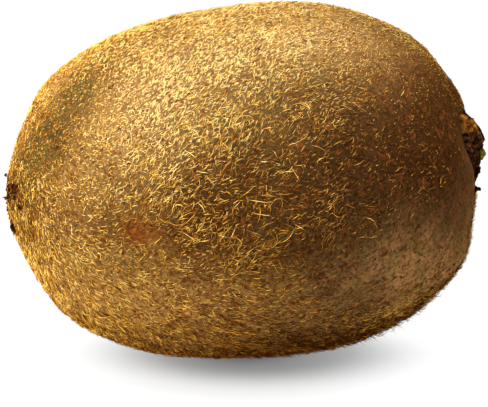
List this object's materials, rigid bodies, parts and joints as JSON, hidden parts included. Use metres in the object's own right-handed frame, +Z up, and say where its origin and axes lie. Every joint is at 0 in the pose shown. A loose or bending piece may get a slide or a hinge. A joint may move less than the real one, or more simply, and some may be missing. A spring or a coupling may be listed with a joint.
{
  "type": "kiwi fruit",
  "caption": "Whole unpeeled kiwi fruit lying on its side: an oval brown body with a withered calyx at the stem end and a dried flower ring at the other.",
  "frame": {"origin": "middle of the bounding box's underside, on the surface that the fruit rests on", "axes": "+X along the length towards the stem end, +Z up, +Y away from the side that faces the viewer"},
  "size_m": [0.0694, 0.0526, 0.0507],
  "materials": {
    "skin": "thin matt brown peel under short golden-brown hairs, with darker olive and reddish patches and small dark specks",
    "dried_calyx": "withered crumbly dark brown tissue, tan on the outside of the sepals",
    "dried_flower": "brittle, nearly black dried styles"
  },
  "bodies": {
    "root": {"fruit_body": "skin", "stem_calyx": "dried_calyx", "flower_ring": "dried_flower"}
  },
  "joints": []
}
